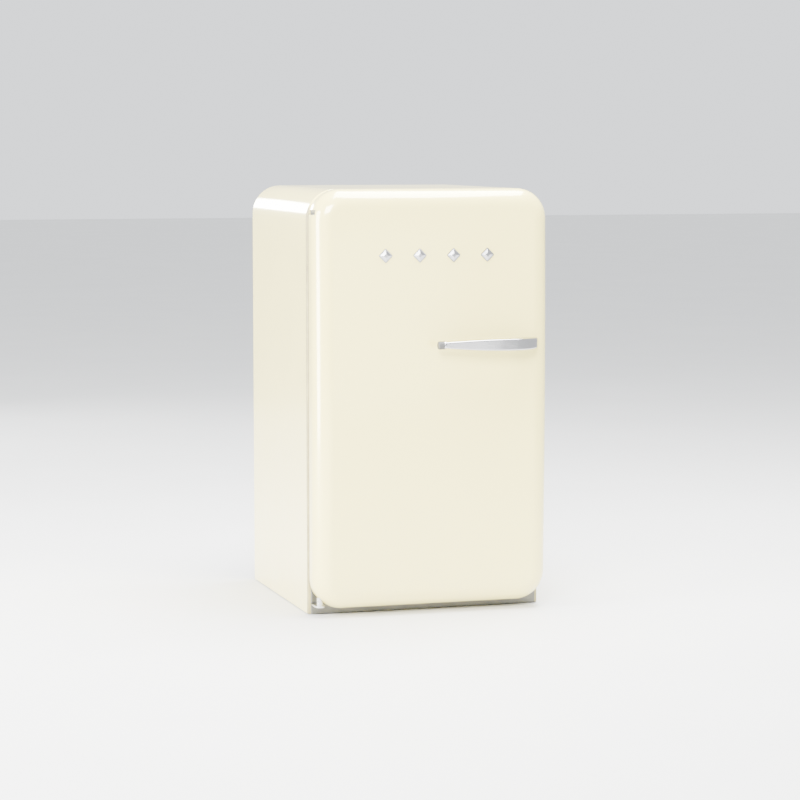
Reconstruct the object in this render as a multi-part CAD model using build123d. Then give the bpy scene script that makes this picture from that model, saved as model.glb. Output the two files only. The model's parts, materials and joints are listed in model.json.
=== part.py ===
from build123d import *
import math
import os

# A retro-style mini fridge with one left-hinged door, an ice compartment and a rear compressor bay.
# Millimetres. +X right, +Y back, +Z up. While modelling, y = 0 is the cabinet's front face; each
# node is moved by FRONT_Y when it is written, so that the origin is the bottom centre of the whole.

# ---- driving dimensions -------------------------------------------------------------------------
WIDTH = 545.0
HEIGHT = 950.0
CABINET_DEPTH = 500.0
DOOR_REACH = 78.0          # cabinet front to the foremost point of the bowed door
HANDLE_REACH = 47.0        # foremost point of the door to the front of the handle
CORNER_R = 67.0            # shoulders of the cabinet and corners of the door, seen from the front
CABINET_EDGE_R = 6.5       # rolled front edge of the cabinet's shell
DOOR_EDGE_R = 40.0         # soft edge all round the door's face
DOOR_BOW = 7.0             # how far the middle of the door's face stands proud of its ends
DOOR_BOTTOM = 18.0
DOOR_GAP = 13.0            # cabinet front to the rear plane of the door
HINGE_INSET = 18.0         # hinge axis to the cabinet's side
HINGE_REACH = 36.0         # hinge axis to the cabinet's front
DOOR_SWING = 110.0         # degrees

SHEET = 1.2                # painted steel
RUNNING = 0.08             # radial clearance of a pin in its bore
LINER = 2.5                # moulded inner skins
SIDE_WALL = 45.0
TOP_WALL = 46.0
BACK_WALL = 43.0
REAR_RECESS = 46.0         # room for the condenser between the side panels
PANEL_BOTTOM = 2.0
PLINTH_TOP = 64.0
PLINTH_REACH = 2.0         # how far the plinth stands before the cabinet's front
CAVITY_FLOOR = 92.0
FOAM_BOTTOM = 50.0
BAY_TOP = 232.0            # compressor bay
BAY_FRONT = 288.0
HUMP_TOP = 280.0           # step in the cavity above the compressor bay
HUMP_FRONT = 246.0

RAIL = 20.0                # underside of the base rails
FOOT_X = 235.0
FRONT_FOOT_Y = 40.0
REAR_FOOT_Y = 450.0

# ---- worked out from them -----------------------------------------------------------------------
TOTAL_DEPTH = CABINET_DEPTH + DOOR_REACH + HANDLE_REACH
FRONT_Y = DOOR_REACH + HANDLE_REACH - TOTAL_DEPTH / 2
HALF = WIDTH / 2
INSIDE = HALF - SHEET
CAVITY_X = HALF - SIDE_WALL
CAVITY_TOP = HEIGHT - TOP_WALL
PANEL_Y = CABINET_DEPTH - REAR_RECESS          # outer face of the back panel
CAVITY_BACK = PANEL_Y - SHEET - BACK_WALL
SHOULDER_Z = HEIGHT - CORNER_R
HINGE_X = -HALF + HINGE_INSET
HINGE_Y = -HINGE_REACH
DOOR_MID = (HEIGHT + DOOR_BOTTOM) / 2
DOOR_HEIGHT = HEIGHT - DOOR_BOTTOM
BOW_R = ((DOOR_HEIGHT / 2) ** 2 + DOOR_BOW ** 2) / (2 * DOOR_BOW)

# ---- inside fittings ----------------------------------------------------------------------------
SHELF_X = 225.0
SHELF_FRONT = 112.0
SHELF_BACK = 400.0
CRISPER_COVER_Z = 284.0
LOWER_SHELF_Z = 430.0
RACK_Z = 552.0
UPPER_SHELF_Z = 668.0
GLASS = 4.0
RIB = 6.0                  # height of the moulded ribs under the shelves
RIB_X = 8.0                # how far a rib stands out of the wall

CRISPER_X = 205.0
CRISPER_FRONT = 100.0
CRISPER_BACK = 240.0
CRISPER_TOP = 262.0

ICE_BOTTOM = 795.0
ICE_TOP = 897.0
ICE_X = 194.0
BEZEL_FRONT = 128.5
BEZEL_BACK = 134.5
FLAP_HINGE_Y = 123.2
FLAP_HINGE_Z = 891.0
FLAP_THICK = 8.0
FLAP_PIN = 2.2

CONTROL_Y = (150.0, 240.0)
CONTROL_Z = (705.0, 780.0)
CONTROL_X = CAVITY_X - 28
KNOB_Y = 180.0
KNOB_Z = 742.0
SWITCH_X = 135.0
SWITCH_Z = 892.0

DIKE_OUT = 212.0           # raised rim inside the door
DIKE_IN = 191.0
DIKE_BOTTOM = 98.0
DIKE_TOP = 880.0
DIKE_DEPTH = 26.0          # how far the rim reaches into the cabinet
GASKET_X = 246.0
GASKET_Z = (73.0, 924.0)
GASKET_BAND = 15.0
BIN_X = 184.0
BIN_DEPTH = 88.0           # cabinet front to the deep side of a door bin
BIN_WALL = 2.5
BOTTLE_BIN = (122.0, 212.0)
MIDDLE_BIN = (390.0, 462.0)
DAIRY_BIN = (636.0, 700.0)
LID_AXIS = (-2.5, DAIRY_BIN[1] + 2.4)          # y, z
LID_PIN = 1.5
UPPER_INSERT = (860.0, 907.0)                  # heights of the door's hinge blocks
LOWER_INSERT = (44.0, 90.0)

HANDLE_Z = 606.0
HANDLE_TIP = 15.0          # x where the bar starts, beside its collar
HANDLE_ROOT = 241.0        # x where the bar ends, near the door's edge
HANDLE_APEX = 178.0        # x where the bar stands out furthest
HANDLE_AXIS_Y = -DOOR_REACH - 34
COLLAR = 5.4
BADGE_Z = 804.0
BADGE_X = (-113, -34.3, 44.3, 123)

COMPRESSOR_X = 40.0
COMPRESSOR_Y = 384.0
POT_R = 61.0
POT_SEAM = 102.0
POT_TOP = 172.0
TERMINAL_REACH = 64.5      # compressor's axis to the face of its terminal boss
DRIER = (-150, 430)        # x, y
CONDENSER_Y = 471.0
GLAND_X = 180.0
GLAND_Z = 44.0

# ---- screws -------------------------------------------------------------------------------------
SCREW_BORE = 1.9           # radius of the bores that the shell's screws go through
PLINTH_SCREW_Z = 42.0
PANEL_SCREWS = [(x, z) for x in (-255, 255) for z in (260, 460, 660, 860)]
PLINTH_SCREWS = (-180, 180)
HINGE_SCREWS = [(HINGE_X - 1, 874), (HINGE_X - 1, 890)]
HINGE_PLATE = 1.0          # thickness of the upper hinge's plate
ARM_SCREWS = (18, 40)
ARM_LOW = RAIL + 2         # the lower hinge's arm lies on the base rail
ARM_TOP = RAIL + 6
HANDLE_SCREWS = (202.0, 226.0)
HANDLE_SCREW_TIP = -DOOR_REACH - 12
HANDLE_SCREW_HEAD = -DOOR_REACH + 8


# ---- helpers ------------------------------------------------------------------------------------
def block(x, y, z):
    """A box from three (low, high) spans."""
    spans = (x, y, z)
    middle = [(a + b) / 2 for a, b in spans]
    return Pos(*middle) * Box(*[b - a for a, b in spans])


def rod(start, end, radius):
    """A round bar between two points."""
    a = Vector(*start)
    way = Vector(*end) - a
    return extrude(Plane(origin=a, z_dir=way) * Circle(radius), amount=way.length)


def upright(sketch, y_low, y_high):
    """A sketch drawn in X and Z, made solid between two y planes."""
    plane = Plane(origin=(0, y_high, 0), x_dir=(1, 0, 0), z_dir=(0, -1, 0))
    return extrude(plane * sketch, amount=y_high - y_low)


def flat(sketch, z_low, z_high):
    """A sketch drawn in X and Y, made solid between two z planes."""
    return extrude(Pos(0, 0, z_low) * sketch, amount=z_high - z_low)


def both_sides(solid):
    """The solid and its mirror image across the middle of the fridge."""
    return [solid, mirror(solid, about=Plane.YZ)]


def open_box(x, y, z, wall, corner):
    """A tray or bin, open at the top, with rounded upright corners."""
    width, depth = x[1] - x[0], y[1] - y[0]
    centre = Pos((x[0] + x[1]) / 2, (y[0] + y[1]) / 2)
    outer = centre * RectangleRounded(width, depth, corner)
    inner = centre * RectangleRounded(width - 2 * wall, depth - 2 * wall, corner - wall)
    return flat(outer, z[0], z[1]) - flat(inner, z[0] + wall, z[1] + 1)


def tube(points, radius, bend):
    """A pipe through the points, with tangent bends."""
    path = FilletPolyline(*points, radius=bend)
    start = Plane(origin=path @ 0, z_dir=path % 0)
    return sweep(start * Circle(radius), path=path)


def pan_screw(centre, direction, head=4.0, shank=1.8, length=10.0, rise=2.2):
    """A screw whose head sits on a surface at centre; direction points out of the surface."""
    out = Vector(*direction).normalized()
    face = Plane(origin=centre, z_dir=out)
    top = extrude(face * Circle(head), amount=rise)
    top = fillet(top.edges().group_by(Axis(centre, direction))[-1], rise / 2)
    slot = Plane(origin=Vector(*centre) + out * rise * 0.6, z_dir=out) * Rectangle(1.0, 2 * head)
    return top + extrude(face * Circle(shank), amount=-length) - extrude(slot, amount=3)


# ---- cabinet shell ------------------------------------------------------------------------------
def shell_outline(inset, bottom):
    """Front view of the cabinet: square at the bottom, round at the shoulders."""
    top = HEIGHT - inset
    face = Pos(0, (top + bottom) / 2) * Rectangle(WIDTH - 2 * inset, top - bottom)
    return fillet(face.vertices().group_by(Axis.Y)[-1], CORNER_R - inset)


def cabinet_form(inset, bottom):
    """The cabinet's outer form with a rolled front edge, taken in by inset except at its back."""
    body = upright(shell_outline(inset, bottom), inset, CABINET_DEPTH)
    front = body.faces().sort_by(Axis.Y)[0]
    rolled = [edge for edge in front.edges() if edge.center().Z > bottom + 1]
    return fillet(rolled, CABINET_EDGE_R - inset)


def shell():
    """Folded steel shell: sides, arched top and a narrow return round the front."""
    below = PANEL_BOTTOM - 5
    mouth = upright(shell_outline(CABINET_EDGE_R, below), -1, SHEET + 1)
    return cabinet_form(0, PANEL_BOTTOM) - cabinet_form(SHEET, below) - mouth


def side_panel(side):
    x = (-HALF, 0) if side < 0 else (0, HALF)
    return shell() & block(x, (-1, CABINET_DEPTH), (PANEL_BOTTOM, SHOULDER_Z))


def top_panel():
    return shell() & block((-HALF, HALF), (-1, CABINET_DEPTH), (SHOULDER_Z, HEIGHT))


def front_frame():
    """Steel flange round the opening, where the door seal closes."""
    opening = Pos(0, (CAVITY_FLOOR + CAVITY_TOP) / 2) * Rectangle(
        2 * (CAVITY_X + LINER), CAVITY_TOP - CAVITY_FLOOR + 2 * LINER)
    frame = upright(shell_outline(CABINET_EDGE_R, PLINTH_TOP) - opening, 0, 1.5)
    return frame - [rod((x, -5, z), (x, 5, z), SCREW_BORE) for x, z in HINGE_SCREWS]


def liner():
    """White moulded cavity with its step and shelf ribs."""
    outside = block((-CAVITY_X - LINER, CAVITY_X + LINER), (0, CAVITY_BACK + LINER),
                    (CAVITY_FLOOR - LINER, CAVITY_TOP + LINER))
    outside -= block((-HALF, HALF), (HUMP_FRONT + LINER, CABINET_DEPTH), (0, HUMP_TOP - LINER))
    cavity = block((-CAVITY_X, CAVITY_X), (-30, CAVITY_BACK), (CAVITY_FLOOR, CAVITY_TOP))
    cavity -= block((-HALF, HALF), (HUMP_FRONT, CABINET_DEPTH), (0, HUMP_TOP))
    upright_corners = [e for e in cavity.edges().filter_by(Axis.Z) if e.center().Y > 0]
    cavity = fillet(upright_corners, 14)
    body = outside - cavity
    for z in (CRISPER_COVER_Z, LOWER_SHELF_Z, RACK_Z, UPPER_SHELF_Z):
        rib = block((CAVITY_X - RIB_X, CAVITY_X + 1), (SHELF_FRONT - 4, SHELF_BACK - 6), (z - RIB, z))
        for one in both_sides(rib):
            body += one
    return body


def insulation():
    """Foam between shell and liner, in slabs that meet face to face."""
    inner = CAVITY_X + LINER
    low, high = CAVITY_FLOOR - LINER, CAVITY_TOP + LINER
    back = CAVITY_BACK + LINER
    room = cabinet_form(SHEET, FOAM_BOTTOM) & block((-HALF, HALF), (1.5, PANEL_Y - SHEET), (0, HEIGHT))
    slabs = [
        block((-HALF, HALF), (0, PANEL_Y), (high, HEIGHT)),
        block((-inner, inner), (back, PANEL_Y), (BAY_TOP, high)),
        block((-inner, inner), (0, HUMP_FRONT + LINER), (FOAM_BOTTOM, low)),
        block((-inner, inner), (HUMP_FRONT + LINER, BAY_FRONT), (FOAM_BOTTOM, HUMP_TOP - LINER)),
        block((-inner, inner), (BAY_FRONT, back), (BAY_TOP, HUMP_TOP - LINER)),
    ]
    for side in (-1, 1):
        x = tuple(sorted((side * inner, side * HALF)))
        slabs.append(block(x, (0, BAY_FRONT), (FOAM_BOTTOM, high)))
        slabs.append(block(x, (BAY_FRONT, PANEL_Y), (BAY_TOP, high)))
    slabs = [slab & room for slab in slabs]
    bores = [rod((x, PANEL_Y - 12, z), (x, PANEL_Y, z), SCREW_BORE) for x, z in PANEL_SCREWS]
    bores += [rod((x, 0, z), (x, 14, z), SCREW_BORE) for x, z in HINGE_SCREWS]
    return [slab - bores for slab in slabs]


def back_panel():
    panel = upright(shell_outline(SHEET, BAY_TOP), PANEL_Y - SHEET, PANEL_Y)
    return panel - [rod((x, PANEL_Y - 5, z), (x, PANEL_Y + 5, z), SCREW_BORE) for x, z in PANEL_SCREWS]


def cabinet_screws():
    """Screws of the back panel, the plinth and the two hinges."""
    screws = [pan_screw((x, PANEL_Y, z), (0, 1, 0), length=8) for x, z in PANEL_SCREWS]
    for x in PLINTH_SCREWS:
        screws.append(pan_screw((x, -PLINTH_REACH, PLINTH_SCREW_Z), (0, -1, 0), head=3.6, length=9))
    for x, z in HINGE_SCREWS:
        screws.append(pan_screw((x, -HINGE_PLATE, z), (0, -1, 0), head=3.6, rise=0.8, length=11))
    for y in ARM_SCREWS:
        screws.append(pan_screw((HINGE_X, y, ARM_TOP), (0, 0, 1), shank=2, length=6))
    return screws


def underside_sheet():
    """One folded sheet under the foam: floor, front of the compressor bay and its ceiling."""
    floor = block((-INSIDE, INSIDE), (CABINET_EDGE_R, BAY_FRONT + SHEET), (FOAM_BOTTOM - SHEET, FOAM_BOTTOM))
    rise = block((-INSIDE, INSIDE), (BAY_FRONT, BAY_FRONT + SHEET), (FOAM_BOTTOM, BAY_TOP - SHEET))
    ceiling = block((-INSIDE, INSIDE), (BAY_FRONT, PANEL_Y - SHEET), (BAY_TOP - SHEET, BAY_TOP))
    return floor + rise + ceiling


def plinth():
    """Silver kick plate with returns at its ends and a notch for the hinge arm."""
    x, front, gauge = HALF - CABINET_EDGE_R - 0.3, -PLINTH_REACH, 1.5
    plate = block((-x, x), (front, 5), (PANEL_BOTTOM, PLINTH_TOP - 0.5))
    plate = fillet(plate.edges().filter_by(Axis.Z).group_by(Axis.Y)[0], 2.5)
    plate -= block((gauge - x, x - gauge), (front + gauge, 30), (0, PLINTH_TOP + 1))
    plate -= block((-HALF, HALF), (0, 30), (FOAM_BOTTOM - 3, PLINTH_TOP + 1))
    plate -= block((HINGE_X - 13, HINGE_X + 12), (front - 1, 6), (RAIL + 1, RAIL + 7))
    return plate - [rod((x, -5, PLINTH_SCREW_Z), (x, 5, PLINTH_SCREW_Z), SCREW_BORE) for x in PLINTH_SCREWS]


# ---- base, feet and cooling ---------------------------------------------------------------------
def base_frame():
    """Two angle rails welded to a front box section and a rear strip."""
    top = FOAM_BOTTOM - SHEET
    frame = block((-216, 216), (6, 26), (RAIL, top)) - block((-300, 300), (8, 24), (RAIL + 2, top - 2))
    frame += block((-268, 268), (478, 482), (RAIL, 66))
    rail = block((INSIDE - 2.2, INSIDE - 0.2), (28, 486), (RAIL, top))
    rail += block((FOOT_X - 20, INSIDE - 4.5), (6, 486), (RAIL, RAIL + 2))
    rail += block((INSIDE - 5, INSIDE - 0.2), (28, 486), (RAIL, RAIL + 2))
    for y in (FRONT_FOOT_Y, REAR_FOOT_Y):
        rail -= rod((FOOT_X, y, 0), (FOOT_X, y, 60), 5 + RUNNING)
    for one in both_sides(rail):
        frame += one
    frame -= [rod((x, 0, PLINTH_SCREW_Z), (x, 12, PLINTH_SCREW_Z), SCREW_BORE) for x in PLINTH_SCREWS]
    frame -= [rod((HINGE_X, y, 10), (HINGE_X, y, 40), 2.1) for y in ARM_SCREWS]
    return frame - rod((GLAND_X, 470, GLAND_Z), (GLAND_X, 490, GLAND_Z), 8.1)


def compressor_tray():
    tray = block((-INSIDE + 3, INSIDE - 3), (300, 477.5), (RAIL + 2, RAIL + 4))
    for side in (-1, 1):
        tray -= rod((side * FOOT_X, REAR_FOOT_Y, 0), (side * FOOT_X, REAR_FOOT_Y, 60), 7)
    return tray


def front_foot(side):
    """Screw foot: stem, hexagon and pad."""
    x, y = side * FOOT_X, FRONT_FOOT_Y
    pad = rod((x, y, 0), (x, y, 6), 18)
    pad = fillet(pad.edges().group_by(Axis.Z)[-1], 2)
    nut = flat(Pos(x, y) * RegularPolygon(12, 6), 6, 14)
    return pad + nut + rod((x, y, 14), (x, y, 46), 5)


def rear_feet():
    feet = []
    for side in (-1, 1):
        x, y = side * FOOT_X, REAR_FOOT_Y
        foot = rod((x, y, 0), (x, y, RAIL - 0.1), 17) + rod((x, y, RAIL - 0.1), (x, y, 34), 5)
        feet.append(fillet(foot.edges().group_by(Axis.Z)[0], 1.5))
    return feet


def compressor():
    """Hermetic pot with its welded seam, terminal boss and mounting plate."""
    x, y = COMPRESSOR_X, COMPRESSOR_Y
    lower = rod((x, y, 42), (x, y, POT_SEAM), POT_R)
    lower = fillet(lower.edges().group_by(Axis.Z)[0], 18)
    dome = rod((x, y, POT_SEAM), (x, y, POT_TOP), POT_R)
    dome = fillet(dome.edges().group_by(Axis.Z)[-1], 32)
    seam = rod((x, y, POT_SEAM - 3), (x, y, POT_SEAM + 2), POT_R + 3)
    pot = lower + dome + seam + rod((x, y, 38.5), (x, y, 46), 38)
    pot += rod((x - TERMINAL_REACH, y, 96), (x - 50, y, 96), 14)
    plate = flat(Pos(x, y) * RectangleRounded(190, 110, 12), 36, 39)
    for dx in (-80, 80):
        for dy in (-40, 40):
            plate -= rod((x + dx, y + dy, 30), (x + dx, y + dy, 45), 6.2)
    return pot + plate


def compressor_grommets():
    made = []
    for dx in (-80, 80):
        for dy in (-40, 40):
            x, y = COMPRESSOR_X + dx, COMPRESSOR_Y + dy
            lower = rod((x, y, RAIL + 4), (x, y, 36), 9) + rod((x, y, 36), (x, y, 39), 6)
            made.append(lower + rod((x, y, 39), (x, y, 43), 8.5))
    return made


def relay_box():
    """Plastic cover over the compressor's terminals."""
    x = COMPRESSOR_X - TERMINAL_REACH
    box = block((x - 36, x), (COMPRESSOR_Y - 30, COMPRESSOR_Y + 30), (72, 136))
    box = fillet(box.edges().filter_by(Axis.X), 5)
    return fillet(box.edges().group_by(Axis.X)[0], 3)


def drip_tray():
    return open_box((COMPRESSOR_X - 75, COMPRESSOR_X + 75), (COMPRESSOR_Y - 50, COMPRESSOR_Y + 50),
                    (POT_TOP, POT_TOP + 26), 2, 12)


def drain_tube():
    top = (COMPRESSOR_X, COMPRESSOR_Y, BAY_TOP - SHEET)
    low = (COMPRESSOR_X, COMPRESSOR_Y, 190)
    return rod(top, low, 7) - rod(top, low, 5)


def filter_drier():
    can = rod((*DRIER, 88), (*DRIER, 172), 11)
    can = fillet(can.edges(), 5)
    return can + rod((*DRIER, 70), (*DRIER, 190), 3)


def condenser_tube():
    """Serpentine that starts at the drier and climbs the back."""
    step, side, passes, first = 46.0, 220.0, 13, 300.0
    x = DRIER[0]
    points = [(*DRIER, 190), (*DRIER, 211), (x, CONDENSER_Y, 211), (x, CONDENSER_Y, first)]
    for row in range(passes):
        way = 1 if row % 2 == 0 else -1
        if row:
            points.append((-way * side, CONDENSER_Y, first + row * step))
        points.append((way * side, CONDENSER_Y, first + row * step))
    return tube(points, 2.5, 20)


def condenser_wires():
    wires = []
    for n in range(31):
        x = -210 + 14 * n
        for side in (-1, 1):
            y = CONDENSER_Y + side * 3.5
            wires.append(rod((x, y, 288), (x, y, 866), 0.8))
    return wires


def condenser_brackets():
    made = []
    for x in (-196, 196):
        for z in (323, 829):
            foot = block((x - 9, x + 9), (PANEL_Y, PANEL_Y + 1.5), (z - 14, z + 14))
            made.append(foot + block((x - 5, x + 5), (PANEL_Y + 1.5, CONDENSER_Y - 4.5), (z - 3, z + 3)))
    return made


def refrigerant_pipes():
    """Discharge line to the condenser's top, suction line and capillary into the bay's ceiling."""
    x, y, exit_z = COMPRESSOR_X, COMPRESSOR_Y, BAY_TOP - SHEET
    discharge = tube([(x + 61, y, 122), (242, y, 122), (242, CONDENSER_Y, 122), (242, CONDENSER_Y, 852),
                      (220, CONDENSER_Y, 852)], 2.5, 14)
    suction = tube([(x + 58, y - 22, 134), (x + 100, y - 22, 134), (x + 100, y - 22, exit_z)], 3.2, 14)
    capillary = tube([(*DRIER, 70), (*DRIER, 50), (-110, 400, 50), (-110, 340, 58),
                      (-110, 340, exit_z)], 1.2, 8)
    pot = rod((x, y, 60), (x, y, 150), POT_R)
    return [discharge - pot, suction - pot, capillary]


def cord_gland():
    """Empty inlet for the mains lead."""
    y = (474.0, 488.0)
    body = rod((GLAND_X, y[0], GLAND_Z), (GLAND_X, y[1] - 5, GLAND_Z), 8)
    rim = rod((GLAND_X, 482, GLAND_Z), (GLAND_X, y[1], GLAND_Z), 11)
    rim = fillet(rim.edges().group_by(Axis.Y)[-1], 2)
    return body + rim - rod((GLAND_X, 470, GLAND_Z), (GLAND_X, 490, GLAND_Z), 4.5)


# ---- inside the cavity --------------------------------------------------------------------------
def glass_shelf(z):
    plate = block((-SHELF_X, SHELF_X), (SHELF_FRONT + 6, SHELF_BACK), (z, z + GLASS))
    return fillet(plate.edges().filter_by(Axis.Z), 6)


def shelf_trim(z):
    """Moulded strip clipped along the shelf's front edge."""
    y = (SHELF_FRONT, SHELF_FRONT + 16)
    strip = block((-SHELF_X + RIB_X, SHELF_X - RIB_X), y, (z - 3, z + GLASS + 3))
    strip = fillet([e for e in strip.edges().filter_by(Axis.X) if e.center().Y < y[0] + 1], 4)
    return strip - block((-SHELF_X, SHELF_X), (SHELF_FRONT + 6, 200), (z, z + GLASS))


def bottle_rack():
    """Chromed wires that lie front to back on two cross bars and rise at the front as a stop."""
    z = RACK_Z + 3
    ends = (SHELF_FRONT + 8, SHELF_BACK - 12)
    rack = rod((-SHELF_X, ends[0], z), (SHELF_X, ends[0], z), 3)
    rack += rod((-SHELF_X, ends[1], z), (SHELF_X, ends[1], z), 3)
    rack += rod((-SHELF_X, 256, z), (SHELF_X, 256, z), 3)
    count = 13
    for n in range(count):
        x = -204 + n * 408 / (count - 1)
        rack += rod((x, SHELF_FRONT + 2, z + 4), (x, SHELF_BACK - 4, z + 4), 2)
        rack += rod((x, SHELF_BACK - 6, z + 3), (x, SHELF_BACK - 6, z + 24), 2)
    rack += rod((-206, SHELF_BACK - 6, z + 22), (206, SHELF_BACK - 6, z + 22), 2)
    return rack


def crisper():
    """Clear drawer with a lip to pull."""
    drawer = open_box((-CRISPER_X, CRISPER_X), (CRISPER_FRONT, CRISPER_BACK),
                      (CAVITY_FLOOR + 0.5, CRISPER_TOP), 2.5, 12)
    lip = block((-90, 90), (CRISPER_FRONT - 7, CRISPER_FRONT + 1.5), (CRISPER_TOP - 10, CRISPER_TOP))
    return drawer + fillet(lip.edges().filter_by(Axis.X).group_by(Axis.Y)[0], 3)


def ice_box():
    """Folded evaporator sheet that is also the ice compartment: four sides and a back."""
    outer = Pos(0, (ICE_BOTTOM + ICE_TOP) / 2) * RectangleRounded(2 * ICE_X, ICE_TOP - ICE_BOTTOM, 9)
    inner = Pos(0, (ICE_BOTTOM + ICE_TOP) / 2) * RectangleRounded(
        2 * ICE_X - 5, ICE_TOP - ICE_BOTTOM - 5, 6.5)
    return upright(outer, BEZEL_BACK, 400) - upright(inner, BEZEL_BACK - 1, 397.5)


def ice_box_bezel():
    """Plastic frame on the front of the ice compartment, with the ears that hold the flap's pins."""
    middle = (790 + 901) / 2
    outer = Pos(0, middle) * RectangleRounded(400, 111, 6)
    inner = Pos(0, middle - 1) * RectangleRounded(372, 85, 8)
    frame = upright(outer - inner, BEZEL_FRONT, BEZEL_BACK)
    for ear in both_sides(block((193, 200), (116, BEZEL_FRONT), (883, 899))):
        frame += ear
    bore = rod((-210, FLAP_HINGE_Y, FLAP_HINGE_Z), (210, FLAP_HINGE_Y, FLAP_HINGE_Z), FLAP_PIN + RUNNING)
    return frame - bore


def ice_flap():
    """Top-hung flap with a grip near its lower edge and a pin at each upper corner."""
    y = (FLAP_HINGE_Y - FLAP_THICK / 2, FLAP_HINGE_Y + FLAP_THICK / 2)
    door = block((-192, 192), y, (800, 893.6))
    door = fillet(door.edges().filter_by(Axis.Y).group_by(Axis.Z)[0], 6)
    door = fillet(door.edges().group_by(Axis.Y)[0], 1.5)
    grip = block((-45, 45), (y[0] - 9, y[0] + 1), (808, 816))
    grip = fillet(grip.edges().filter_by(Axis.X).group_by(Axis.Y)[0], 3)
    pins = [rod((x, FLAP_HINGE_Y, FLAP_HINGE_Z), (x + 8, FLAP_HINGE_Y, FLAP_HINGE_Z), FLAP_PIN)
            for x in (-198, 190)]
    return door + grip + pins


def ice_box_hangers():
    made = []
    for x in (-150, 150):
        for y in (160, 370):
            post = block((x - 12, x + 12), (y - 8, y + 8), (ICE_TOP, CAVITY_TOP))
            made.append(post)
    return made


def control_housing():
    """Hollow cover on the right wall that holds the thermostat and the lamp."""
    y, z = CONTROL_Y, CONTROL_Z
    cover = block((CONTROL_X, CAVITY_X), y, z)
    cover = fillet([e for e in cover.edges() if e.center().X < CONTROL_X + 1], 5)
    cover -= block((CONTROL_X + 2, CAVITY_X + 1), (y[0] + 2, y[1] - 2), (z[0] + 2, z[1] - 2))
    return cover - rod((CONTROL_X - 5, KNOB_Y, KNOB_Z), (CONTROL_X + 5, KNOB_Y, KNOB_Z), 3 + RUNNING)


def thermostat_knob():
    """Fluted dial with a pointer rib."""
    x = CONTROL_X - 0.4
    dial = rod((x, KNOB_Y, KNOB_Z), (x - 11, KNOB_Y, KNOB_Z), 17)
    dial = fillet(dial.edges().group_by(Axis.X)[0], 2)
    for n in range(20):
        turn = 2 * math.pi * n / 20
        y, z = KNOB_Y + 18 * math.cos(turn), KNOB_Z + 18 * math.sin(turn)
        dial -= rod((x - 12, y, z), (x + 1, y, z), 1.7)
    dial += block((x - 13, x - 10.5), (KNOB_Y - 1.5, KNOB_Y + 1.5), (KNOB_Z, KNOB_Z + 13))
    return dial + rod((x - 1, KNOB_Y, KNOB_Z), (x + 12, KNOB_Y, KNOB_Z), 3)


def lamp_cover():
    x = CONTROL_X
    lens = block((x - 7, x), (206, 235), (712, 773))
    return fillet([e for e in lens.edges() if e.center().X < x - 6], 3)


def lamp_board():
    """Small lamp board inside the housing, with four light chips."""
    x = CONTROL_X + 6
    board = block((x, x + 1.6), (208, 233), (714, 771))
    for n in range(4):
        z = 722 + 14 * n
        board += block((x - 1.5, x), (218, 223), (z - 2.5, z + 2.5))
    return board


def door_switch():
    """Switch body under the ceiling, behind the front edge."""
    body = block((SWITCH_X - 15, SWITCH_X + 15), (5, 27), (SWITCH_Z - 9, CAVITY_TOP))
    return body - rod((SWITCH_X, 0, SWITCH_Z), (SWITCH_X, 25, SWITCH_Z), 4 + RUNNING)


def switch_plunger():
    """Button that the closed door holds in."""
    pin = rod((SWITCH_X, -DOOR_GAP + 0.4, SWITCH_Z), (SWITCH_X, 24, SWITCH_Z), 4)
    return fillet(pin.edges().group_by(Axis.Y)[0], 1.5)


# ---- door ---------------------------------------------------------------------------------------
def door_block(inset, rear):
    """The door's soft-edged, bowed form, taken in by inset all round except at its rear plane."""
    outline = Pos(0, DOOR_MID) * RectangleRounded(
        WIDTH - 2 * inset, DOOR_HEIGHT - 2 * inset, CORNER_R - inset)
    body = upright(outline, -DOOR_REACH - 5, rear)
    bow = Cylinder(BOW_R - inset, WIDTH + 20, rotation=(0, 90, 0))
    body = body & (Pos(0, BOW_R - DOOR_REACH, DOOR_MID) * bow)
    face = body.faces().sort_by(Axis.Y)[0]
    return fillet(face.edges(), DOOR_EDGE_R - inset)


def hinge_pocket():
    """Room that the upper hinge arm needs in the door as the door swings."""
    half = 7.5
    last = math.radians(90 + DOOR_SWING + 4)
    along = (math.cos(last), math.sin(last))
    off = (-along[1] * -half, along[0] * -half)
    off = (off[0], off[1]) if off[1] < 0 else (-off[0], -off[1])
    tip = (off[0] + 80 * along[0], off[1] + 80 * along[1])
    wedge = Polyline((half, 0), (half, 60), (-90, 60), (-90, tip[1]), tip, off, close=True)
    room = make_face(wedge) + Circle(11)
    return flat(Pos(HINGE_X, HINGE_Y) * room, 894, 905)


def upper_bore():
    return rod((HINGE_X, HINGE_Y, 864), (HINGE_X, HINGE_Y, 896), 4 + RUNNING)


def lower_bore():
    wide = rod((HINGE_X, HINGE_Y, 10), (HINGE_X, HINGE_Y, 44), 8)
    return wide + rod((HINGE_X, HINGE_Y, 40), (HINGE_X, HINGE_Y, 80), 4 + RUNNING)


def hinge_insert(z):
    """Plastic block in the door that carries a hinge pin."""
    rear = -DOOR_GAP - LINER - 1.5
    room = door_block(SHEET + 1, rear)
    return block((HINGE_X - 14, HINGE_X + 22), (HINGE_Y - 19, rear), z) & room


def door_skin():
    """Pressed and painted outer pan."""
    pan = door_block(0, -DOOR_GAP) - door_block(SHEET, -DOOR_GAP + 5)
    pan -= hinge_pocket()
    pan -= lower_bore()
    for x in HANDLE_SCREWS:
        pan -= rod((x, -DOOR_REACH - 5, HANDLE_Z), (x, HANDLE_SCREW_HEAD, HANDLE_Z), 2.7)
    return pan


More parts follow.
